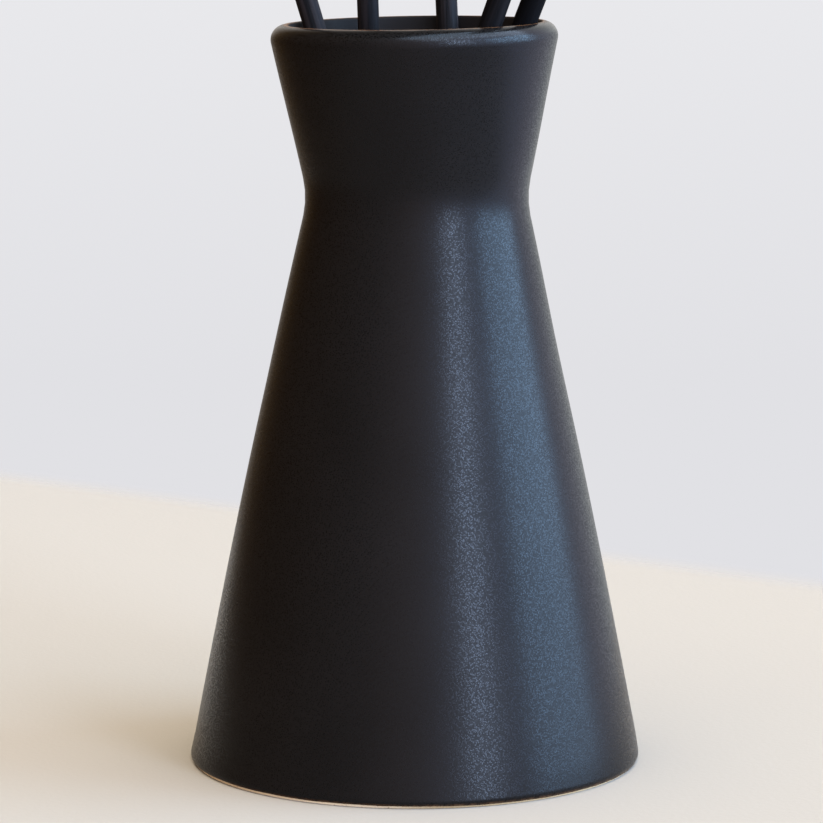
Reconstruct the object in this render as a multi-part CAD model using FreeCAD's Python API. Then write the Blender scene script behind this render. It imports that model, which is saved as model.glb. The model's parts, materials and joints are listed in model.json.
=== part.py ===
import FreeCAD, Part
import math
import os

# A slip-cast bud vase with a flared mouth, holding five loose scent reeds.
# Millimetres, +Z up. The origin is the centre of the foot ring, on the surface
# that the vase stands on. The front faces -Y. A bearing is counted in degrees
# from +X towards +Y, round the vase's axis.

# Vase, outside. The radii are where its straight sides would meet.
HEIGHT = 135.7
BASE_RADIUS = 41.6
WAIST_RADIUS = 19.96
WAIST_HEIGHT = 104.2
MOUTH_RADIUS = 26.65
BODY_BELLY = 0.42
BASE_ROUNDING = 0.8
WAIST_ROUNDING = 17.0
LIP_ROUNDING_OUTSIDE = 2.1

# Vase, inside. The wall is WALL thick all the way up, measured level.
WALL = 3.8
FLOOR_HEIGHT = 5.2
FLOOR_ROUNDING = 5.0
LIP_ROUNDING_INSIDE = 1.1

# Foot: a flat bare ring round a shallow recess.
FOOT_BEVEL = 0.6
FOOT_RING_WIDTH = 5.5
RECESS_DEPTH = 1.5
RECESS_SLOPE = 1.0
RECESS_ROUNDING = 1.0

# Reeds. Each stands on the inner floor and leans on the neck or on the lip, and
# is kept REED_CLEARANCE away from both.
REED_LENGTH = 250.0
REED_CLEARANCE = 0.35

# name: (diameter, what it leans on, bearing there, foot's distance from the axis, foot's bearing)
REEDS = {
    "reed_far_left": (4.0, "lip", 156.9, 31.3, -47.2),
    "reed_left": (4.0, "neck", 122.1, 11.8, 111.0),
    "reed_middle": (4.1, "lip", 72.9, 18.3, -49.7),
    "reed_right": (4.1, "lip", -50.8, 33.2, -167.8),
    "reed_far_right": (4.3, "lip", -17.0, 32.2, 156.2),
}

SAME_PLACE = 1e-6
SECTION_PLANE = Part.Plane(FreeCAD.Vector(0, 0, 0), FreeCAD.Vector(0, 1, 0))
COLLAR_FLARE = (MOUTH_RADIUS - WAIST_RADIUS) / (HEIGHT - WAIST_HEIGHT)


def section_point(radius, height):
    """A point of the vase's half section, which lies in the XZ plane."""
    return FreeCAD.Vector(radius, 0, height)


def straight(start, end):
    """A straight side of the section."""
    return Part.LineSegment(start, end).toShape()


def bowed(start, end, rise):
    """A side of the section that stands out from the axis by rise at its middle."""
    along = end - start
    outwards = FreeCAD.Vector(abs(along.z), 0, abs(along.x)).normalize()
    middle = (start + end) * 0.5 + outwards * rise
    return Part.Arc(start, middle, end).toShape()


def ends_at(side, corner):
    """Whether a corner of the section is one end of a side."""
    return any(vertex.Point.isEqual(corner, SAME_PLACE) for vertex in side.Vertexes)


def round_corner(sides, corner, radius):
    """Put an arc between the two neighbouring sides that meet at a corner of the section."""
    index = next(place for place, side in enumerate(sides) if ends_at(side, corner))
    fillet = Part.ChFi2d.FilletAlgo(sides[index], sides[index + 1], SECTION_PLANE)
    fillet.perform(radius)
    arc, first, second = fillet.result(corner)
    sides[index:index + 2] = [first, arc, second]


def make_vase():
    """The hollow vase: its half section, with the corners rounded, turned once round the axis."""
    foot_radius = BASE_RADIUS - FOOT_BEVEL
    recess_radius = foot_radius - FOOT_RING_WIDTH
    foot_inner = section_point(recess_radius, 0)
    foot_outer = section_point(foot_radius, 0)
    base = section_point(BASE_RADIUS, FOOT_BEVEL)
    waist = section_point(WAIST_RADIUS, WAIST_HEIGHT)
    lip_outer = section_point(MOUTH_RADIUS, HEIGHT)
    lip_inner = section_point(MOUTH_RADIUS - WALL, HEIGHT)
    neck = section_point(WAIST_RADIUS - WALL, WAIST_HEIGHT)
    floor_edge = section_point(BASE_RADIUS - WALL, FLOOR_HEIGHT)
    floor_centre = section_point(0, FLOOR_HEIGHT)
    recess_centre = section_point(0, RECESS_DEPTH)
    recess_edge = section_point(recess_radius - RECESS_SLOPE, RECESS_DEPTH)

    sides = [
        straight(foot_inner, foot_outer),
        straight(foot_outer, base),
        bowed(base, waist, BODY_BELLY),
        straight(waist, lip_outer),
        straight(lip_outer, lip_inner),
        straight(lip_inner, neck),
        bowed(neck, floor_edge, BODY_BELLY),
        straight(floor_edge, floor_centre),
        straight(floor_centre, recess_centre),
        straight(recess_centre, recess_edge),
        straight(recess_edge, foot_inner),
    ]
    round_corner(sides, base, BASE_ROUNDING)
    round_corner(sides, waist, WAIST_ROUNDING)
    round_corner(sides, lip_outer, LIP_ROUNDING_OUTSIDE)
    round_corner(sides, lip_inner, LIP_ROUNDING_INSIDE)
    round_corner(sides, neck, WAIST_ROUNDING + WALL)
    round_corner(sides, floor_edge, FLOOR_ROUNDING)
    round_corner(sides, recess_edge, RECESS_ROUNDING)
    section = Part.Face(Part.Wire(sides))
    return section.revolve(FreeCAD.Vector(0, 0, 0), FreeCAD.Vector(0, 0, 1), 360)


def on_bearing(bearing, distance, height):
    """The point at a distance from the axis, on a bearing and at a height."""
    angle = math.radians(bearing)
    return FreeCAD.Vector(distance * math.cos(angle), distance * math.sin(angle), height)


def inner_edge(leans_on):
    """The vase's inner radius and its height, where a reed leans on the lip or on the neck."""
    if leans_on == "lip":
        return MOUTH_RADIUS - WALL - COLLAR_FLARE * LIP_ROUNDING_INSIDE, HEIGHT - LIP_ROUNDING_INSIDE
    corner_fill = (WAIST_ROUNDING + WALL) * (1 / math.cos(math.atan(COLLAR_FLARE)) - 1)
    return WAIST_RADIUS - WALL + corner_fill, WAIST_HEIGHT


def make_reed(diameter, leans_on, lean_bearing, foot_distance, foot_bearing):
    """A round stick from the inner floor, past the edge that it leans on, and out of the mouth."""
    radius = diameter / 2
    inner_radius, lean_height = inner_edge(leans_on)
    foot = on_bearing(foot_bearing, foot_distance, FLOOR_HEIGHT)
    steepness = (on_bearing(lean_bearing, inner_radius, lean_height) - foot).normalize().z
    lean_distance = inner_radius - REED_CLEARANCE - radius / steepness
    direction = (on_bearing(lean_bearing, lean_distance, lean_height) - foot).normalize()
    cut_end_drop = radius * math.sin(math.acos(direction.z))
    start = foot + direction * ((REED_CLEARANCE + cut_end_drop) / direction.z)
    return Part.makeCylinder(radius, REED_LENGTH, start, direction)


def main():
    os.makedirs("parts", exist_ok=True)
    make_vase().exportStep("parts/vase.step")
    for name, sizes in REEDS.items():
        make_reed(*sizes).exportStep(f"parts/{name}.step")


main()
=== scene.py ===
import json
import math
import random

import bpy
from mathutils import Matrix, Vector


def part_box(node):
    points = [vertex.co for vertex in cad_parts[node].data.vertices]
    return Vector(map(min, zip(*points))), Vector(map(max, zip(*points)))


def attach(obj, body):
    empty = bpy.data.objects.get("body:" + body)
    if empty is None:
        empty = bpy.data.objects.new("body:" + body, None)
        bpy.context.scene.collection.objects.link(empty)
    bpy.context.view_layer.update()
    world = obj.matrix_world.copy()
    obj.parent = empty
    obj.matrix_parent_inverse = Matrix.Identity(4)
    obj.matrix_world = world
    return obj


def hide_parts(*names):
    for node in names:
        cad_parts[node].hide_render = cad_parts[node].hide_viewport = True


# A matt black bud vase with five dyed reeds, in metres, +Z up. The vase stands
# on z = 0, turns round the z axis and faces -Y. A bearing is counted in radians
# from +X towards +Y. Every size of the vase and the reeds is counted in MM,
# which is one millimetre of the vase as it was drawn, so it follows the frame.

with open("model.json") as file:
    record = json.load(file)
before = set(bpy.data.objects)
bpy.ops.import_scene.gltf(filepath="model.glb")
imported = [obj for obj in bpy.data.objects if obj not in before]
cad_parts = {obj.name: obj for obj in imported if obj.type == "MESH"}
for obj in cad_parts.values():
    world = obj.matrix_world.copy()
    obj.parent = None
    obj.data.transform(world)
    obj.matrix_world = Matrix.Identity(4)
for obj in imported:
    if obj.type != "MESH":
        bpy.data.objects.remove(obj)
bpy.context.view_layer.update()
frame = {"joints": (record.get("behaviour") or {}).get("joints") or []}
vase_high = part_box("vase")[1]

DRAWN_HEIGHT = 135.7
MM = vase_high.z / DRAWN_HEIGHT
FULL_TURN = 2 * math.pi
SEED = 11


# ---------------------------------------------------------------- vase sizes

# The radii are where the straight sides would meet. In CAD the rounding above
# the foot takes BASE_CORNER_CUT off the widest one.
HEIGHT = vase_high.z
BASE_CORNER_CUT = 0.08 * MM
BASE_RADIUS = vase_high.x + BASE_CORNER_CUT
FOOT_BEVEL = 0.65 * MM
WAIST_RADIUS = 19.96 * MM
WAIST_HEIGHT = 104.2 * MM
MOUTH_RADIUS = 26.65 * MM
WALL = 3.8 * MM
BODY_BELLY = 0.42 * MM
FLOOR_HEIGHT = 5.2 * MM
FOOT_RING_WIDTH = 5.5 * MM
RECESS_DEPTH = 1.5 * MM
RECESS_SLOPE = 1.0 * MM

BASE_ROUNDING = 1.4 * MM
WAIST_ROUNDING = 17.0 * MM
LIP_ROUNDING_OUTSIDE = 2.65 * MM
LIP_ROUNDING_INSIDE = 0.6 * MM
FLOOR_ROUNDING = 5.0 * MM
RECESS_ROUNDING = 1.0 * MM

# The bare foot ring's two edges are rounded, the outer one up to CLAY_BEND_TOP.
CLAY_ROUNDING = 0.25 * MM
CLAY_BEND_TOP = 0.12 * MM

# How fine the mesh is: columns round the vase, the step along straight sides and
# round corners, and the rows up the bare clay, round the glaze's edge and above it.
AROUND = 288
SIDE_STEP = 1.6 * MM
ARC_STEP = math.radians(9)
CLAY_ROWS = 3
GLAZE_EDGE_ROWS = 5
GLAZE_FOOT_ROWS = 8

# The glaze is a coat on the clay. It ends in a round edge a little above the
# foot, highest at the front left. Each wave of the edge has how many there are
# round the vase, its height, where it starts and how far it has turned by the rim.
GLAZE_THICKNESS = 0.2 * MM
GLAZE_EDGE_HEIGHT = 0.30 * MM
GLAZE_EDGE_LOWEST = 0.16 * MM
GLAZE_EDGE_RISE = 0.20 * MM
GLAZE_EDGE_RISE_BEARING = math.radians(-128)
GLAZE_EDGE_WAVE = 0.03 * MM
GLAZE_EDGE_WAVES = ((7, 1.0, 0.4, 0.0), (17, 0.7, 2.0, 0.0), (41, 0.5, 0.0, 0.0))
GLAZE_FOOT_TOP = 3.0 * MM

# The glaze has run thin this near to the crest of the lip and this low above the
# foot, wholly at the first size and not at all at the second.
CREST_RADIUS = MOUTH_RADIUS - WALL + LIP_ROUNDING_INSIDE
THIN_CREST = (0.1 * MM, 0.55 * MM)
THIN_FOOT = (0.45 * MM, 0.95 * MM)
THIN_FOOT_SHARE = 0.6

# The glaze is glossy on the outer rounding of the lip, between these heights,
# with brighter crystals and an even shine there as a painted highlight.
GLOSS_HIGHLIGHT_BOTTOM = (HEIGHT - 2.3 * MM, HEIGHT - 1.1 * MM)
GLOSS_HIGHLIGHT_TOP = (HEIGHT - 0.2 * MM, HEIGHT)

# The glaze has stained the bare clay brown, except round this bearing. The stain
# is full where 1 less the cosine of the angle from there is CLEAN_CLAY_REACH.
CLEAN_CLAY_BEARING = math.radians(-135)
CLEAN_CLAY_REACH = 0.4

# Hand-made departures from a true turning. The foot stands to the left and the
# waist to the right, the rim leans and dips to the left, the body is a little
# hollow half way up, and the wall wanders in waves like the glaze edge's. The
# inside stays true, except that it dips with the rim, and the outside goes over
# into it in the rows next to the crest of the lip.
FOOT_SHIFT_TO = 5.0 * MM
FOOT_SHIFT = -0.14 * MM
WAIST_SHIFT_FROM = 75.0 * MM
WAIST_SHIFT = 0.26 * MM
RIM_SHIFT = -0.2 * MM
RIM_DIP_FROM = 110.0 * MM
RIM_TILT = math.radians(0.9)
HOLLOW_HEIGHT = 75.0 * MM
HOLLOW_REACH = 14.0 * MM
HOLLOW_DEPTH = 0.14 * MM
WANDER = 0.04 * MM
WANDER_FROM = 0.02 * HEIGHT
WANDER_TO = 0.3 * HEIGHT
WANDER_WAVES = ((2, 1.0, 1.1, 2.2), (3, 0.7, -0.6, 5.0))
ROWS_BEFORE_CREST = 1
ROWS_AFTER_CREST = 6


# ------------------------------------------------------------------ geometry

SHARP_ANGLE = math.radians(50)
SAME_PLACE = 0.01 * MM


def on_bearing(bearing, distance, height):
    """The point at a distance from the axis, on a bearing and at a height."""
    return Vector((distance * math.cos(bearing), distance * math.sin(bearing), height))


def smooth(value, start, end):
    """0 before start, 1 after end and an even S in between."""
    share = min(1.0, max(0.0, (value - start) / (end - start)))
    return share * share * (3 - 2 * share)


def arc(before, corner, after, radius):
    """Points of the arc that rounds a corner between two straight sides."""
    back = (before - corner).normalized()
    ahead = (after - corner).normalized()
    half = back.angle(ahead) / 2
    centre = corner + (back + ahead).normalized() * (radius / math.sin(half))
    start = corner + back * (radius / math.tan(half)) - centre
    end = corner + ahead * (radius / math.tan(half)) - centre
    turn = math.pi - 2 * half
    steps = max(3, math.ceil(turn / ARC_STEP))
    points = []
    for step in range(steps + 1):
        share = step / steps
        near = math.sin((1 - share) * turn) / math.sin(turn)
        far = math.sin(share * turn) / math.sin(turn)
        points.append(centre + start * near + end * far)
    return points


def section(corners, bellies):
    """Points along a section, with every corner rounded and some sides bowed.

    corners holds (radius, height, rounding), and bellies how far the side after
    a corner stands out at its middle.
    """
    at = [Vector((radius, height)) for radius, height, _ in corners]
    runs = [[at[0]]]
    for index in range(1, len(corners) - 1):
        rounding = corners[index][2]
        runs.append(arc(at[index - 1], at[index], at[index + 1], rounding))
    runs.append([at[-1]])
    points = list(runs[0])
    for index in range(1, len(runs)):
        start, end = points[-1], runs[index][0]
        side = end - start
        outwards = Vector((abs(side.y), abs(side.x))).normalized()
        pieces = max(1, round(side.length / SIDE_STEP))
        belly = bellies.get(index - 1, 0.0)
        for piece in range(1, pieces):
            share = piece / pieces
            rise = 4 * belly * share * (1 - share)
            points.append(start + side * share + outwards * rise)
        points += runs[index]
    return points


def radius_at(points, height):
    """The radius of a section's rising part at a height."""
    for low, high in zip(points, points[1:]):
        if low.y <= height <= high.y:
            return low.x + (high.x - low.x) * (height - low.y) / (high.y - low.y)
    return points[0].x


def waviness(waves, bearing, climb):
    """The sum of some waves round the vase. climb is 0 at the foot and 1 at the rim."""
    return sum(high * math.sin(count * bearing + start + turn * climb) for count, high, start, turn in waves)


def departures(point, outer):
    """Where a point of the vase goes by its departures: outer is 1 outside and 0 inside."""
    above_waist = smooth(point.z, WAIST_HEIGHT, HEIGHT)
    near_waist = smooth(point.z, WAIST_SHIFT_FROM, WAIST_HEIGHT) * (1 - above_waist)
    near_foot = 1 - smooth(point.z, 0, FOOT_SHIFT_TO)
    shift = FOOT_SHIFT * near_foot + WAIST_SHIFT * near_waist + RIM_SHIFT * above_waist
    dip = math.tan(RIM_TILT) * point.x * smooth(point.z, RIM_DIP_FROM, HEIGHT)
    bearing = math.atan2(point.y, point.x)
    swell = WANDER * waviness(WANDER_WAVES, bearing, point.z / HEIGHT)
    swell *= smooth(point.z, WANDER_FROM, WANDER_TO)
    swell -= HOLLOW_DEPTH * math.exp(-((point.z - HOLLOW_HEIGHT) / HOLLOW_REACH) ** 2)
    return point + Vector((outer * shift, 0, dip)) + on_bearing(bearing, outer * swell, 0)


def mesh_object(name, points, faces, materials, face_materials):
    """A smooth-shaded mesh object, sharp only where two faces meet at a real corner."""
    mesh = bpy.data.meshes.new(name)
    mesh.from_pydata(points, [], faces)
    for material in materials:
        mesh.materials.append(material)
    mesh.polygons.foreach_set("material_index", face_materials)
    mesh.polygons.foreach_set("use_smooth", [True] * len(faces))
    mesh.set_sharp_from_angle(angle=SHARP_ANGLE)
    mesh.update()
    made = bpy.data.objects.new(name, mesh)
    bpy.context.scene.collection.objects.link(made)
    return made


def add_values(made, name, values):
    """Give every point of a mesh a number that its material can read."""
    attribute = made.data.attributes.new(name, "FLOAT", "POINT")
    attribute.data.foreach_set("value", values)


# -------------------------------------------------------------- shader nodes

# A colour mix node has its share and its two colours at these inputs.
MIX_INPUTS = (0, 6, 7)
MIX_OUTPUT = 2


def new_material(name):
    """A node material with an empty Principled shader, its node tree and that shader."""
    material = bpy.data.materials.new(name)
    material.use_nodes = True
    tree = material.node_tree
    return material, tree, tree.nodes["Principled BSDF"]


def set_or_link(tree, socket, value):
    """Link a socket to another one, or set it to a constant."""
    if isinstance(value, bpy.types.NodeSocket):
        tree.links.new(value, socket)
    else:
        socket.default_value = value


def add(tree, kind, inputs=None, **settings):
    """A node with its settings, and with its inputs set or linked."""
    node = tree.nodes.new(kind)
    for key, value in settings.items():
        setattr(node, key, value)
    for key, value in (inputs or {}).items():
        set_or_link(tree, node.inputs[key], value)
    return node


def object_place(tree):
    """Where a point is in its object, in metres."""
    return add(tree, "ShaderNodeTexCoord").outputs["Object"]


def point_value(tree, name):
    """The number that add_values gave the mesh's points."""
    return add(tree, "ShaderNodeAttribute", attribute_name=name).outputs["Fac"]


def noise(tree, place, scale, detail=2.0):
    """Noise from 0 to 1 with features 1 / scale across, in metres."""
    inputs = {"Vector": place, "Scale": scale, "Detail": detail}
    return add(tree, "ShaderNodeTexNoise", inputs, noise_dimensions="3D").outputs["Fac"]


def cells(tree, place, scale):
    """Outputs of cells 1 / scale across, in metres: each one's Color, and the Distance from its middle."""
    return add(tree, "ShaderNodeTexVoronoi", {"Vector": place, "Scale": scale}, feature="F1").outputs


def remap(tree, value, low, high, to_low, to_high):
    """A value moved from one range to another, and held inside it."""
    inputs = {"Value": value, "From Min": low, "From Max": high, "To Min": to_low, "To Max": to_high}
    return add(tree, "ShaderNodeMapRange", inputs).outputs["Result"]


def multiply(tree, first, second):
    """The product of two values."""
    return add(tree, "ShaderNodeMath", {0: first, 1: second}, operation="MULTIPLY").outputs[0]


def plus(tree, first, second):
    """The sum of two values."""
    return add(tree, "ShaderNodeMath", {0: first, 1: second}, operation="ADD").outputs[0]


def blend_colours(tree, share, first, second):
    """A colour between two others."""
    node = add(tree, "ShaderNodeMix", data_type="RGBA")
    for index, value in zip(MIX_INPUTS, (share, first, second)):
        set_or_link(tree, node.inputs[index], value)
    return node.outputs[MIX_OUTPUT]


def bump(tree, height, distance, normal=None):
    """A normal tilted by a height that ranges over a distance in metres."""
    inputs = {"Height": height, "Distance": distance, "Strength": 1.0}
    if normal:
        inputs["Normal"] = normal
    return add(tree, "ShaderNodeBump", inputs).outputs["Normal"]


# --------------------------------------------------------------------- glaze

# The scales here and below are features to the metre. gloss is 1 on the outer
# rounding of the lip, where the glaze is glossier and carries a painted highlight,
# 0 on the rest of the outside, and -1 inside, where it is duller and carries painted shade.
GLAZE_CLOUD_SCALE = 45.0
GLAZE_GRAIN_SCALE = 3300.0
GLAZE_CRYSTAL_SCALE = 3800.0
GLAZE_RIPPLE_SCALE = 420.0
GLAZE_WEAR_SCALE = 900.0

GLAZE_WARM_BLACK = (0.0044, 0.0034, 0.0029, 1)
GLAZE_SOFT_BLACK = (0.0066, 0.0054, 0.0049, 1)
GLAZE_CRYSTAL = (0.0136, 0.0136, 0.0141, 1)
# A brighter crystal colour for the lip: painted highlight.
GLAZE_LIP_HIGHLIGHT_CRYSTAL = (0.017, 0.017, 0.017, 1)
GLAZE_WORN_BROWN = (0.125, 0.062, 0.028, 1)

GLAZE_SPECULAR = 0.066
GLAZE_ROUGHNESS = 0.35
GLAZE_CRYSTAL_ROUGHNESS = 0.26
GLAZE_LIP_ROUGHNESS_FACTOR = 0.7
GLAZE_INSIDE_ROUGHNESS_FACTOR = 1.7
# How far the lip's crystals give way to an even metallic shine: painted highlight.
GLAZE_LIP_HIGHLIGHT_SHINE = 0.5
GLAZE_RIPPLE_HEIGHT = 0.006 * MM
GLAZE_GRAIN_HEIGHT = 0.012 * MM


def glaze_crystals_and_painted_light(tree, place, gloss_and_painted_light):
    """Fine crystals of different sizes outside, fainter over an even shine on the lip that is a painted
    highlight, and none inside, which is painted shade.
    """
    crystal = cells(tree, place, GLAZE_CRYSTAL_SCALE)
    size = remap(tree, crystal["Color"], 0.25, 0.6, 0.2, 1.0)
    core = remap(tree, crystal["Distance"], 0.36, 0.70, 1.0, 0.0)
    # The crystals stop inside, which leaves the inside darker and less shiny: painted shade.
    outside = remap(tree, gloss_and_painted_light, -1.0, 0.0, 0.0, 1.0)
    speckle = multiply(tree, multiply(tree, core, size), outside)
    speckle = multiply(tree, speckle, remap(tree, gloss_and_painted_light, 0.0, 1.0, 1.0, 1.0 - GLAZE_LIP_HIGHLIGHT_SHINE))
    return plus(tree, speckle, remap(tree, gloss_and_painted_light, 0.0, 1.0, 0.0, GLAZE_LIP_HIGHLIGHT_SHINE))


def glaze_colour(tree, place, crystals, gloss_and_painted_light):
    """Cloudy black, lighter in the crystals and lighter still on the lip as a painted highlight, plain black
    inside as painted shade, and brown in patches where the glaze has run thin.
    """
    cloud = remap(tree, noise(tree, place, GLAZE_CLOUD_SCALE, 3.0), 0.3, 0.7, 0.0, 1.0)
    black = blend_colours(tree, cloud, GLAZE_WARM_BLACK, GLAZE_SOFT_BLACK)
    # The lip's crystals are brighter: painted highlight.
    bright = blend_colours(tree, gloss_and_painted_light, GLAZE_CRYSTAL, GLAZE_LIP_HIGHLIGHT_CRYSTAL)
    mottled = blend_colours(tree, crystals, black, bright)
    patch = remap(tree, noise(tree, place, GLAZE_WEAR_SCALE, 3.0), 0.35, 0.6, 0.25, 1.0)
    wear = multiply(tree, point_value(tree, "thin_glaze"), patch)
    return blend_colours(tree, wear, mottled, GLAZE_WORN_BROWN)


def glaze_roughness(tree, crystals, gloss_and_painted_light):
    """Satin, smoother in the crystals and on the lip, and duller inside."""
    rough = remap(tree, crystals, 0.0, 0.8, GLAZE_ROUGHNESS, GLAZE_CRYSTAL_ROUGHNESS)
    rough = multiply(tree, rough, remap(tree, gloss_and_painted_light, 0.0, 1.0, 1.0, GLAZE_LIP_ROUGHNESS_FACTOR))
    return multiply(tree, rough, remap(tree, gloss_and_painted_light, -1.0, 0.0, GLAZE_INSIDE_ROUGHNESS_FACTOR, 1.0))


def glaze_material():
    """Matt black glaze with a soft ripple and a fine grain."""
    material, tree, shader = new_material("matt_black_glaze")
    place = object_place(tree)
    gloss_and_painted_light = point_value(tree, "gloss_and_painted_light")
    crystals = glaze_crystals_and_painted_light(tree, place, gloss_and_painted_light)
    ripple = bump(tree, noise(tree, place, GLAZE_RIPPLE_SCALE, 1.0), GLAZE_RIPPLE_HEIGHT)
    normal = bump(tree, noise(tree, place, GLAZE_GRAIN_SCALE), GLAZE_GRAIN_HEIGHT, ripple)
    tree.links.new(glaze_colour(tree, place, crystals, gloss_and_painted_light), shader.inputs["Base Color"])
    tree.links.new(crystals, shader.inputs["Metallic"])
    tree.links.new(glaze_roughness(tree, crystals, gloss_and_painted_light), shader.inputs["Roughness"])
    tree.links.new(normal, shader.inputs["Normal"])
    shader.inputs["Specular IOR Level"].default_value = GLAZE_SPECULAR
    return material


# ----------------------------------------------------------------- bare clay

CLAY_CLOUD_SCALE = 130.0
CLAY_GRIT_SCALE = 2600.0
CLAY_SPECK_SCALE = 900.0
CLAY_DARK_BUFF = (0.78, 0.59, 0.37, 1)
CLAY_PALE_BUFF = (0.90, 0.74, 0.52, 1)
CLAY_STAIN = (0.33, 0.22, 0.11, 1)
CLAY_SPECK = (0.20, 0.11, 0.06, 1)
CLAY_GRIT_HEIGHT = 0.05 * MM


def clay_material():
    """Bare buff stoneware: gritty and dry, stained brown in places, with dark iron specks."""
    material, tree, shader = new_material("bare_buff_clay")
    place = object_place(tree)
    grit = noise(tree, place, CLAY_GRIT_SCALE, 3.0)
    buff = blend_colours(tree, noise(tree, place, CLAY_CLOUD_SCALE, 4.0), CLAY_DARK_BUFF, CLAY_PALE_BUFF)
    body = blend_colours(tree, point_value(tree, "stain"), buff, CLAY_STAIN)
    speck = remap(tree, cells(tree, place, CLAY_SPECK_SCALE)["Distance"], 0.08, 0.16, 0.7, 0.0)
    tree.links.new(blend_colours(tree, speck, body, CLAY_SPECK), shader.inputs["Base Color"])
    tree.links.new(remap(tree, grit, 0.3, 0.7, 0.75, 0.95), shader.inputs["Roughness"])
    tree.links.new(bump(tree, grit, CLAY_GRIT_HEIGHT), shader.inputs["Normal"])
    return material


# -------------------------------------------------------------------- rattan

# FIBRE_STRETCH makes the fibres long: the pattern is read slowly along the reed.
FIBRE_STRETCH = (1.0, 1.0, 0.045)
FIBRE_SCALE = 3600.0
FIBRE_HEIGHT = 0.05 * MM
DYE_STREAK_SCALE = 1100.0
DYE_WEAR_SCALE = 900.0
DYE_BLACK = (0.0018, 0.0017, 0.0020, 1)
DYE_GREY = (0.0075, 0.0070, 0.0080, 1)
DYE_WORN = (0.0160, 0.0130, 0.0135, 1)
# The near-black that a reed is made darker towards, by its share.
DARKEST_REED_BLACK = (0.0006, 0.0006, 0.0008, 1)
REED_SPECULAR = 0.04
DARKEST_REED_ROUGHNESS_FACTOR = 1.3


def reed_material():
    """Dyed rattan core: dull black with long fibres and worn patches, and some reeds made darker and duller
    all over, each by its own share.
    """
    material, tree, shader = new_material("dyed_rattan")
    along = add(tree, "ShaderNodeMapping", {"Vector": object_place(tree), "Scale": FIBRE_STRETCH}).outputs[0]
    # How far this reed is made darker and duller all over.
    depth = point_value(tree, "reed_darkness")
    fibre = noise(tree, along, FIBRE_SCALE, 3.0)
    streak = remap(tree, noise(tree, along, DYE_STREAK_SCALE), 0.35, 0.65, 0.0, 1.0)
    patch = remap(tree, noise(tree, along, DYE_WEAR_SCALE, 3.0), 0.45, 0.65, 0.0, 0.8)
    worn = blend_colours(tree, patch, blend_colours(tree, streak, DYE_BLACK, DYE_GREY), DYE_WORN)
    rough = remap(tree, fibre, 0.3, 0.7, 0.50, 0.70)
    rough = multiply(tree, rough, remap(tree, depth, 0.0, 1.0, 1.0, DARKEST_REED_ROUGHNESS_FACTOR))
    tree.links.new(blend_colours(tree, depth, worn, DARKEST_REED_BLACK), shader.inputs["Base Color"])
    tree.links.new(rough, shader.inputs["Roughness"])
    tree.links.new(bump(tree, fibre, FIBRE_HEIGHT), shader.inputs["Normal"])
    shader.inputs["Specular IOR Level"].default_value = REED_SPECULAR
    return material


# ---------------------------------------------------------------------- vase

GLAZED = 0
BARE = 1
BARE_FROM = 0.9 * RECESS_DEPTH


def vase_section():
    """The underside's section, and the section from the foot, round the outside, to the inner floor."""
    foot_radius = BASE_RADIUS - FOOT_BEVEL
    recess_radius = foot_radius - FOOT_RING_WIDTH
    outside = section(
        [
            (foot_radius, 0, 0),
            (BASE_RADIUS, FOOT_BEVEL, BASE_ROUNDING),
            (WAIST_RADIUS, WAIST_HEIGHT, WAIST_ROUNDING),
            (MOUTH_RADIUS, HEIGHT, LIP_ROUNDING_OUTSIDE),
            (MOUTH_RADIUS - WALL, HEIGHT, LIP_ROUNDING_INSIDE),
            (WAIST_RADIUS - WALL, WAIST_HEIGHT, WAIST_ROUNDING + WALL),
            (BASE_RADIUS - WALL, FLOOR_HEIGHT, FLOOR_ROUNDING),
            (0, FLOOR_HEIGHT, 0),
        ],
        {1: BODY_BELLY, 5: BODY_BELLY},
    )
    underside = section(
        [
            (0, RECESS_DEPTH, 0),
            (recess_radius - RECESS_SLOPE, RECESS_DEPTH, RECESS_ROUNDING),
            (recess_radius, 0, CLAY_ROUNDING),
            (foot_radius, 0, CLAY_ROUNDING),
            (foot_radius + CLAY_ROUNDING, 2 * CLAY_ROUNDING, 0),
        ],
        {},
    )
    return underside, outside


def glaze_edge(bearing):
    """How high above the table the glaze stops."""
    rise = GLAZE_EDGE_RISE * math.cos(bearing - GLAZE_EDGE_RISE_BEARING)
    wave = GLAZE_EDGE_WAVE * waviness(GLAZE_EDGE_WAVES, bearing, 0)
    return max(GLAZE_EDGE_LOWEST, GLAZE_EDGE_HEIGHT + rise + wave)


def foot_points(outside, bearing):
    """The bare clay above the foot ring, the round edge of the glaze and the rows above it."""
    edge = glaze_edge(bearing)
    glaze_full = edge + GLAZE_THICKNESS
    foot_radius = BASE_RADIUS - FOOT_BEVEL
    top_radius = radius_at(outside, glaze_full)
    clay_radius = max(foot_radius, radius_at(outside, edge) - GLAZE_THICKNESS)
    points = []
    for row in range(1, CLAY_ROWS + 1):
        share = row / CLAY_ROWS
        height = CLAY_BEND_TOP + (edge - CLAY_BEND_TOP) * share
        points.append(Vector((foot_radius + (clay_radius - foot_radius) * share, height)))
    for row in range(1, GLAZE_EDGE_ROWS + 1):
        turn = math.pi / 2 * row / GLAZE_EDGE_ROWS
        radius = clay_radius + (top_radius - clay_radius) * math.sin(turn)
        points.append(Vector((radius, edge + GLAZE_THICKNESS * (1 - math.cos(turn)))))
    for row in range(1, GLAZE_FOOT_ROWS):
        height = glaze_full + (GLAZE_FOOT_TOP - glaze_full) * row / GLAZE_FOOT_ROWS
        points.append(Vector((radius_at(outside, height), height)))
    return points


def lip_gloss_and_highlight(height):
    """How glossy the outside is at a height: it shines on the outer rounding of the lip, where a painted
    highlight goes with the gloss.
    """
    return smooth(height, *GLOSS_HIGHLIGHT_BOTTOM) * (1 - smooth(height, *GLOSS_HIGHLIGHT_TOP))


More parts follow.
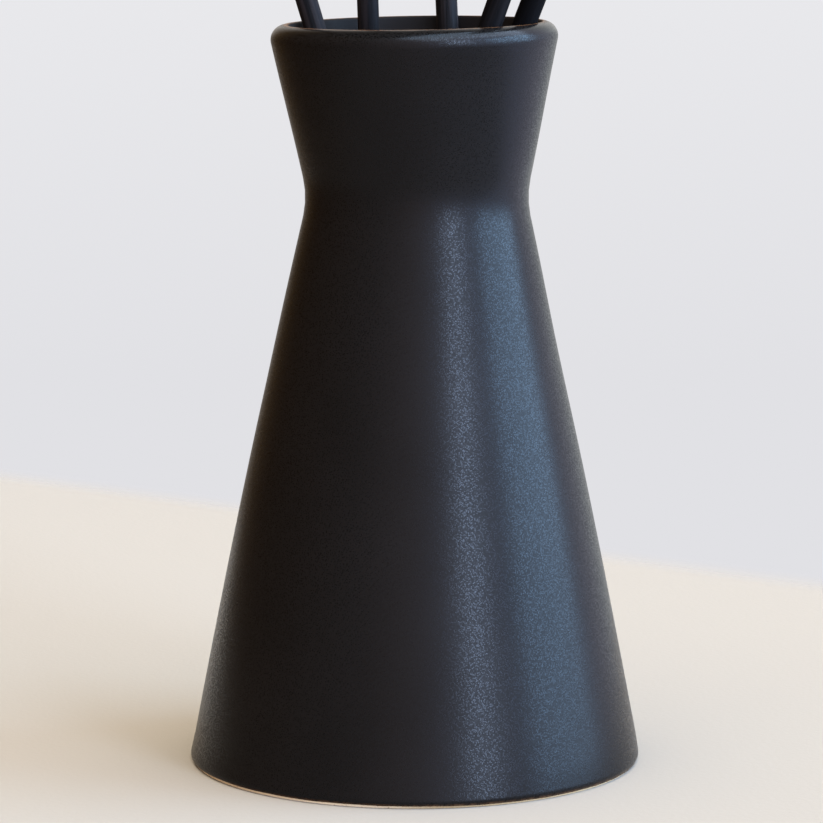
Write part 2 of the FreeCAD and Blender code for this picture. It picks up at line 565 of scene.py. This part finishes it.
def thin_glaze(radius, height):
    """How far the glaze has run thin: along the crest of the lip and at the foot."""
    from_crest = math.hypot(radius - CREST_RADIUS, height - HEIGHT)
    lip = 1 - smooth(from_crest, *THIN_CREST)
    foot = 1 - smooth(height, *THIN_FOOT)
    return max(lip, THIN_FOOT_SHARE * foot)


def clay_stain(bearing):
    """How far the bare clay is stained brown."""
    return smooth(1 - math.cos(bearing - CLEAN_CLAY_BEARING), 0, CLEAN_CLAY_REACH)


def vase_faces(rows, bare_rows):
    """The vase's faces and their materials.

    Every column has this many rows of points, from the recess, round the
    outside, to the inner floor. The middles of the recess and the floor come last.
    """
    recess_middle = AROUND * rows
    floor_middle = recess_middle + 1
    faces = []
    face_materials = []
    for column in range(AROUND):
        here = column * rows
        there = (column + 1) % AROUND * rows
        faces.append((recess_middle, there, here))
        face_materials.append(GLAZED)
        for row in range(rows - 1):
            faces.append((here + row, there + row, there + row + 1, here + row + 1))
            face_materials.append(BARE if row in bare_rows else GLAZED)
        faces.append((floor_middle, here + rows - 1, there + rows - 1))
        face_materials.append(GLAZED)
    return faces, face_materials


def make_vase(glaze, clay):
    """The vase as one hollow mesh: glazed, with a bare clay foot ring."""
    underside, outside = vase_section()
    ring_middle = BASE_RADIUS - FOOT_BEVEL - FOOT_RING_WIDTH / 2
    # The foot's own points stand between CLAY_BEND_TOP and GLAZE_FOOT_TOP.
    under = [point for point in underside[1:] if point.y < CLAY_BEND_TOP or point.x < ring_middle]
    upper = [point for point in outside[:-1] if point.y > GLAZE_FOOT_TOP or point.x < BASE_RADIUS - WALL]
    points = []
    thin = []
    gloss_and_painted_light = []
    stain = []
    for step in range(AROUND):
        bearing = FULL_TURN * step / AROUND
        column = under + foot_points(outside, bearing) + upper
        crest = next(row for row, point in enumerate(column) if point.y > HEIGHT - SAME_PLACE)
        for row, point in enumerate(column):
            outer = 1 - smooth(row, crest - ROWS_BEFORE_CREST, crest + ROWS_AFTER_CREST)
            points.append(departures(on_bearing(bearing, point.x, point.y), outer))
            thin.append(thin_glaze(point.x, point.y))
            # 1 on the lip's outer rounding, for gloss and a painted highlight, and -1 inside, for dullness
            # and painted shade.
            gloss_and_painted_light.append(outer * lip_gloss_and_highlight(point.y) - (1 - outer))
            stain.append(clay_stain(bearing))
    bare_start = next(row for row, point in enumerate(under) if point.y < BARE_FROM)
    bare_rows = range(bare_start, len(under) + CLAY_ROWS - 1)
    faces, face_materials = vase_faces(len(points) // AROUND, bare_rows)
    points += [Vector((0, 0, RECESS_DEPTH)), Vector((0, 0, FLOOR_HEIGHT))]
    made = mesh_object("vase_body", points, faces, [glaze, clay], face_materials)
    add_values(made, "thin_glaze", thin + [0, 0])
    add_values(made, "gloss_and_painted_light", gloss_and_painted_light + [0, -1])
    add_values(made, "stain", stain + [0, 0])
    return made


# --------------------------------------------------------------------- reeds

REED_AROUND = 72
REED_RINGS = 110
REED_CHAMFER = 0.25 * MM

# A reed bends to one side in its upper half. The bend starts and would be full
# at these shares of the reed's length above its middle.
REED_BEND = 0.7 * MM
REED_BEND_FROM = 0.02
REED_BEND_TO = 0.9

# Grooves run along a reed. They turn slowly round it, by up to GROOVE_TWIST
# radians to the metre, and drift by GROOVE_DRIFT. Each wave of them has how many
# there are round the reed and its share of the depth, itself a share of the radius.
GROOVE_DEPTH = 0.008
GROOVE_TWIST = 9.0
GROOVE_DRIFT = 30.0
GROOVES = ((5, 0.5), (11, 0.8), (17, 1.0), (23, 0.8))

# Pores open in a reed's cut ends, inside PORE_SPREAD of its radius.
PORES = 26
PORE_SPREAD = 0.86
PORE_RADIUS = 0.16 * MM
PORE_FLOOR_RADIUS = 0.3 * PORE_RADIUS
PORE_DEPTH = 0.25 * MM
END_RINGS = 12

# How far each reed is made darker and duller all over, the right-hand ones most.
REED_DARKNESS = {
    "reed_far_left": 0.1,
    "reed_left": 0.2,
    "reed_middle": 0.0,
    "reed_right": 0.7,
    "reed_far_right": 0.9,
}


def reed_size(low, high, axis):
    """The length and radius of a slanting round stick, from its box."""
    tall = (axis.z, 2 * math.hypot(axis.x, axis.y))
    wide = (abs(axis.x), 2 * math.hypot(axis.y, axis.z))
    length, radius = Matrix((tall, wide)).inverted() @ Vector((high.z - low.z, high.x - low.x))
    return length, radius


def side_rings(length, skin):
    """Rings of points along a reed's side, from one chamfer to the other."""
    rings = []
    for step in range(REED_RINGS + 1):
        height = (step / REED_RINGS - 0.5) * (length - 2 * REED_CHAMFER)
        ring = []
        for spoke in range(REED_AROUND):
            bearing = FULL_TURN * spoke / REED_AROUND
            ring.append(on_bearing(bearing, skin(bearing, height), height))
        rings.append(ring)
    return rings


def end_rings(side, length, skin, pores):
    """Rings of points over a reed's cut end, from its edge inwards. side is 1 at the top, -1 below."""
    rings = []
    for step in range(END_RINGS):
        share = 1 - step / END_RINGS
        ring = []
        for spoke in range(REED_AROUND):
            bearing = FULL_TURN * spoke / REED_AROUND
            edge = skin(bearing, side * length / 2) - REED_CHAMFER
            point = on_bearing(bearing, edge * share, 0)
            nearest = min((point - pore).length for pore in pores)
            sink = PORE_DEPTH * (1 - smooth(nearest, PORE_FLOOR_RADIUS, PORE_RADIUS))
            ring.append(point + Vector((0, 0, side * (length / 2 - sink))))
        rings.append(ring)
    return rings


def reed_faces(tip):
    """A reed's faces. Its points are the lower end's middle, the rings and the tip, the upper middle."""
    last_ring = tip - 1 - REED_AROUND
    faces = []
    for spoke in range(REED_AROUND):
        here = 1 + spoke
        beside = 1 + (spoke + 1) % REED_AROUND
        faces.append((0, beside, here))
        for start in range(0, last_ring, REED_AROUND):
            above = start + REED_AROUND
            faces.append((start + here, start + beside, above + beside, above + here))
        faces.append((tip, last_ring + here, last_ring + beside))
    return faces


def make_reed(name, lift_axis, material):
    """One reed in its own axes, along z, put where the frame has it."""
    low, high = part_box(name)
    length, radius = reed_size(low, high, lift_axis)
    dice = random.Random(f"{name} {SEED}")
    phases = [dice.uniform(0, FULL_TURN) for _ in GROOVES]
    twist = dice.uniform(-GROOVE_TWIST, GROOVE_TWIST)
    bend_bearing = dice.uniform(0, FULL_TURN)
    pores = []
    for _ in range(PORES):
        bearing = dice.uniform(0, FULL_TURN)
        pores.append(on_bearing(bearing, radius * PORE_SPREAD * math.sqrt(dice.random()), 0))

    def skin(bearing, height):
        """The reed's radius there, less its grooves."""
        cut = 0
        for (count, depth), phase in zip(GROOVES, phases):
            turn = count * (bearing + twist * height) + phase + GROOVE_DRIFT * height
            cut += depth * (0.5 + 0.5 * math.cos(turn))
        return radius * (1 - GROOVE_DEPTH * cut)

    rings = [[Vector((0, 0, -length / 2))]]
    rings += reversed(end_rings(-1, length, skin, pores))
    rings += side_rings(length, skin)
    rings += end_rings(1, length, skin, pores)
    rings.append([Vector((0, 0, length / 2))])
    bend = on_bearing(bend_bearing, REED_BEND, 0)
    points = []
    for ring in rings:
        for point in ring:
            free = smooth(point.z, REED_BEND_FROM * length, REED_BEND_TO * length)
            points.append(point + bend * free * free)
    faces = reed_faces(len(points) - 1)
    made = mesh_object(name + "_stick", points, faces, [material], [0] * len(faces))
    turned = lift_axis.to_track_quat("Z", "Y").to_matrix().to_4x4()
    made.matrix_world = Matrix.Translation((low + high) / 2) @ turned
    add_values(made, "reed_darkness", [REED_DARKNESS[name]] * len(points))
    return made


# --------------------------------------------------------------------- build

vase = make_vase(glaze_material(), clay_material())
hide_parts("vase")
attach(vase, "vase")

rattan = reed_material()
for joint in frame["joints"]:
    reed = make_reed(joint["child"], Vector(joint["axis"]), rattan)
    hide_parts(joint["child"])
    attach(reed, joint["child"])


# --------------------------------------------------------------------- table

# The table's far edge runs slantwise behind the vase. It is out of focus, so the
# table fades out over TABLE_FADE there, and over SIDE_FADE at its other edges.
TABLE_LEFT = -0.22
TABLE_RIGHT = 0.45
TABLE_FRONT = -0.36
TABLE_BACK = 0.233
TABLE_BACK_SLOPE = -0.749
TABLE_FADE = 0.026
SIDE_FADE = 0.08

TABLE_COLOUR = (0.272, 0.256, 0.222, 1)
TABLE_ROUGHNESS = 0.9
TABLE_SPECULAR = 0.0
TABLE_GRAIN_SCALE = 900.0
TABLE_GRAIN_HEIGHT = 0.04 * MM


def table_material():
    """A plain pale table top, which fades out at its edges."""
    material, tree, shader = new_material("pale_table")
    shader.inputs["Base Color"].default_value = TABLE_COLOUR
    shader.inputs["Roughness"].default_value = TABLE_ROUGHNESS
    shader.inputs["Specular IOR Level"].default_value = TABLE_SPECULAR
    grain = noise(tree, object_place(tree), TABLE_GRAIN_SCALE)
    tree.links.new(bump(tree, grain, TABLE_GRAIN_HEIGHT), shader.inputs["Normal"])
    shown = {"Value": point_value(tree, "shown")}
    even = add(tree, "ShaderNodeMapRange", shown, interpolation_type="SMOOTHSTEP").outputs["Result"]
    clear = add(tree, "ShaderNodeBsdfTransparent").outputs[0]
    fade = add(tree, "ShaderNodeMixShader", {0: even, 1: clear, 2: shader.outputs[0]})
    tree.links.new(fade.outputs[0], tree.nodes["Material Output"].inputs["Surface"])
    return material


def make_table():
    """The table top: one large face, and a narrow one along each edge for the fade."""
    points = []
    for far in (0, 1):
        left = TABLE_LEFT - SIDE_FADE * far
        right = TABLE_RIGHT + SIDE_FADE * far
        front = TABLE_FRONT - SIDE_FADE * far
        back = TABLE_BACK + TABLE_FADE * (far - 0.5)
        points.append(Vector((left, front, 0)))
        points.append(Vector((right, front, 0)))
        points.append(Vector((right, back + TABLE_BACK_SLOPE * right, 0)))
        points.append(Vector((left, back + TABLE_BACK_SLOPE * left, 0)))
    faces = [(0, 1, 2, 3)] + [(4 + edge, 4 + (edge + 1) % 4, (edge + 1) % 4, edge) for edge in range(4)]
    made = mesh_object("table_top", points, faces, [table_material()], [0] * len(faces))
    add_values(made, "shown", [1] * 4 + [0] * 4)


make_table()


# --------------------------------------------------------------------- lamps

# Each lamp's azimuth, which runs from the front to the right, how high it
# stands, and how wide and tall it looks, all in degrees. Then its distance, its
# power and its colour. The overhead lamp isn't mirrored in anything, and the
# upper window is only mirrored and lights nothing else.
LAMPS = (
    ("window_near", 35.5, 16, 16, 30, 5.0, 272.0, (0.53, 0.71, 1.0)),
    ("window_side", 86, 16, 44, 30, 5.0, 610.0, (0.38, 0.66, 1.0)),
    ("window_top", 62, 60, 84, 44, 5.0, 1000.0, (0.55, 0.74, 1.0)),
    ("overhead", 0, 90, 70, 70, 1.7, 95.0, (1.0, 0.88, 0.74)),
)
LAMPS_NOT_MIRRORED = ("overhead",)
LAMPS_ONLY_MIRRORED = ("window_top",)
LAMP_TARGET = Vector((0, 0, 0.45 * HEIGHT))


def soft_box(name, azimuth, rise, width, tall, distance, power, colour):
    """A rectangular lamp that the camera doesn't see, facing the vase. Its angles are in radians."""
    lamp = bpy.data.lights.new(name, "AREA")
    lamp.shape = "RECTANGLE"
    lamp.size = 2 * distance * math.tan(width / 2)
    lamp.size_y = 2 * distance * math.tan(tall / 2)
    lamp.energy = power
    lamp.color = colour
    made = bpy.data.objects.new(name, lamp)
    bpy.context.scene.collection.objects.link(made)
    made.visible_camera = False
    made.visible_glossy = name not in LAMPS_NOT_MIRRORED
    made.visible_diffuse = name not in LAMPS_ONLY_MIRRORED
    level = math.cos(rise)
    away = Vector((math.sin(azimuth) * level, -math.cos(azimuth) * level, math.sin(rise)))
    place = LAMP_TARGET + away * distance
    made.location = place
    made.rotation_euler = (LAMP_TARGET - place).to_track_quat("-Z", "Y").to_euler()


for name, azimuth, rise, width, tall, distance, power, colour in LAMPS:
    angles = [math.radians(angle) for angle in (azimuth, rise, width, tall)]
    soft_box(name, *angles, distance, power, colour)


# --------------------------------------------------------------------- world

# What the glaze sees of the room, by azimuth in degrees from the front to the
# right: a pale wall behind, a dim warm room at the left and more light in front.
ROOM = (
    (-180, (0.80, 0.76, 0.72)),
    (-150, (0.20, 0.12, 0.05)),
    (-120, (0.13, 0.06, 0.02)),
    (-80, (0.46, 0.30, 0.18)),
    (-40, (0.62, 0.54, 0.48)),
    (0, (1.60, 1.33, 1.33)),
    (55, (3.00, 3.50, 5.20)),
    (120, (1.47, 1.45, 1.85)),
    (150, (0.92, 0.98, 1.00)),
    (180, (0.80, 0.76, 0.72)),
)
ROOM_STRENGTH = 6.0

# The walls go over into the ceiling, and the backdrop lightens upwards, between
# these slopes: -1 is straight down, 0 is level and 1 is straight up.
CEILING = (0.04, 0.03, 0.02, 1)
CEILING_SLOPES = (0.68, 0.92)
BACKGROUND_LOW = (0.753, 0.753, 0.783, 1)
BACKGROUND_HIGH = (0.815, 0.815, 0.840, 1)
BACKGROUND_SLOPES = (-0.14, -0.04)


def room_walls(sky, axes):
    """The colour of the room's walls, all the way round."""
    front = multiply(sky, axes["Y"], -1.0)
    azimuth = add(sky, "ShaderNodeMath", {0: axes["X"], 1: front}, operation="ARCTAN2").outputs[0]
    walls = add(sky, "ShaderNodeValToRGB", {"Fac": remap(sky, azimuth, -math.pi, math.pi, 0.0, 1.0)})
    stops = walls.color_ramp.elements
    # A new ramp already has two stops.
    for place, (turn, colour) in enumerate(ROOM):
        share = (turn + 180) / 360
        stop = stops[place] if place < 2 else stops.new(share)
        stop.position = share
        stop.color = [level / ROOM_STRENGTH for level in colour] + [1]
    return walls.outputs[0]


def glow(sky, colour, strength):
    """Light of a colour, from every way at once."""
    return add(sky, "ShaderNodeBackground", {"Color": colour, "Strength": strength}).outputs[0]


def make_world():
    """Pale paper where the camera looks straight at it, and the room for everything else."""
    world = bpy.data.worlds.new("studio")
    world.use_nodes = True
    bpy.context.scene.world = world
    sky = world.node_tree
    sky.nodes.clear()
    way = add(sky, "ShaderNodeTexCoord").outputs["Generated"]
    axes = add(sky, "ShaderNodeSeparateXYZ", {"Vector": way}).outputs
    walls = glow(sky, room_walls(sky, axes), ROOM_STRENGTH)
    high = remap(sky, axes["Z"], *CEILING_SLOPES, 0.0, 1.0)
    room = add(sky, "ShaderNodeMixShader", {0: high, 1: walls, 2: glow(sky, CEILING, 1.0)}).outputs[0]
    climb = remap(sky, axes["Z"], *BACKGROUND_SLOPES, 0.0, 1.0)
    backdrop = glow(sky, blend_colours(sky, climb, BACKGROUND_LOW, BACKGROUND_HIGH), 1.0)
    seen = add(sky, "ShaderNodeLightPath").outputs["Is Camera Ray"]
    choice = add(sky, "ShaderNodeMixShader", {0: seen, 1: room, 2: backdrop}).outputs[0]
    add(sky, "ShaderNodeOutputWorld", {"Surface": choice})


make_world()


# -------------------------------------------------------------------- camera

CAMERA_PLACE = Vector((-0.00072, -0.73819, 0.17593))
CAMERA_PITCH = math.radians(8.581)
CAMERA_LENS = 177.94
CAMERA_SENSOR = 36.0
CAMERA_NEAREST = 0.05
CAMERA_FARTHEST = 20.0


def make_camera():
    """The camera at the photograph's viewing angle, looking a little down."""
    data = bpy.data.cameras.new("camera")
    data.lens = CAMERA_LENS
    data.sensor_width = CAMERA_SENSOR
    data.clip_start = CAMERA_NEAREST
    data.clip_end = CAMERA_FARTHEST
    camera = bpy.data.objects.new("camera", data)
    bpy.context.scene.collection.objects.link(camera)
    camera.location = CAMERA_PLACE
    camera.rotation_euler = (math.pi / 2 - CAMERA_PITCH, 0, 0)
    bpy.context.scene.camera = camera


make_camera()
bpy.context.scene.view_settings.view_transform = "Standard"
